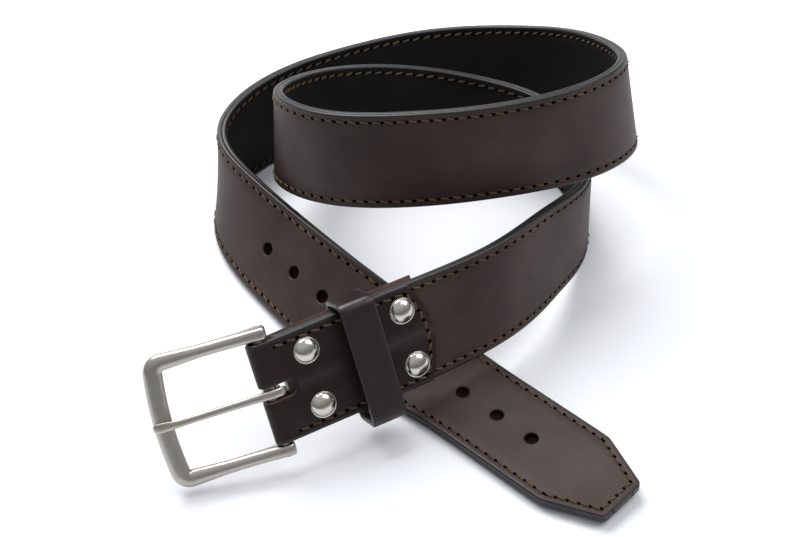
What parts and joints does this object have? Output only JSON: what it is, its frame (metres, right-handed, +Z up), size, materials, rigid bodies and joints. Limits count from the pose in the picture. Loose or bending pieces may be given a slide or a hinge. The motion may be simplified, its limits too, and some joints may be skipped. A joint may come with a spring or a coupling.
{
  "type": "leather belt",
  "caption": "Leather strap belt with a pointed tip and a row of holes, coiled on edge, with a folded chape, a loop keeper and a hinged buckle with a prong.",
  "frame": {"origin": "centre of the bounding box's base, on the surface the belt lies on", "axes": "+Z up, +Y from the buckle end towards the back of the coil, +X to the right seen from the buckle side"},
  "size_m": [0.1922, 0.2584, 0.0883],
  "materials": {
    "outer_leather": "matte, dark brown, smooth",
    "lining_leather": "matte, near black",
    "chape_leather": "smooth, dark red brown",
    "thread": "waxed thread, golden brown",
    "polished_nickel": "polished",
    "satin_nickel": "satin"
  },
  "bodies": {
    "strap": {"strap_outer_leather": "outer_leather", "strap_lining": "lining_leather", "strap_seam_upper": "thread", "strap_seam_lower": "thread", "strap_seam_tip": "thread", "chape_leather": "chape_leather", "chape_seam": "thread", "screw_post_1": "polished_nickel", "screw_post_2": "polished_nickel", "screw_post_3": "polished_nickel", "screw_post_4": "polished_nickel", "back_screw_1": "satin_nickel", "back_screw_2": "satin_nickel", "back_screw_3": "satin_nickel", "back_screw_4": "satin_nickel"},
    "buckle": {"buckle_frame": "satin_nickel", "buckle_heel_bar": "satin_nickel"},
    "prong": {"buckle_prong": "satin_nickel"},
    "keeper": {"keeper_loop": "chape_leather", "keeper_staple": "satin_nickel"}
  },
  "joints": [
    {"name": "buckle_hinge", "type": "hinge", "parent": "strap", "child": "buckle", "pos_m": [-0.05046, -0.08936, 0.02889], "axis": [-0.2244, 0.4291, 0.8749], "range_deg": [-60, 35]},
    {"name": "prong_hinge", "type": "hinge", "parent": "buckle", "child": "prong", "pos_m": [-0.05046, -0.08936, 0.02889], "axis": [-0.2244, 0.4291, 0.8749], "range_deg": [0, 90]},
    {"name": "keeper_slide", "type": "slide", "parent": "strap", "child": "keeper", "axis": [-0.8807, -0.471, -0.0507], "range_m": [-0.0064, 0.0095]}
  ]
}
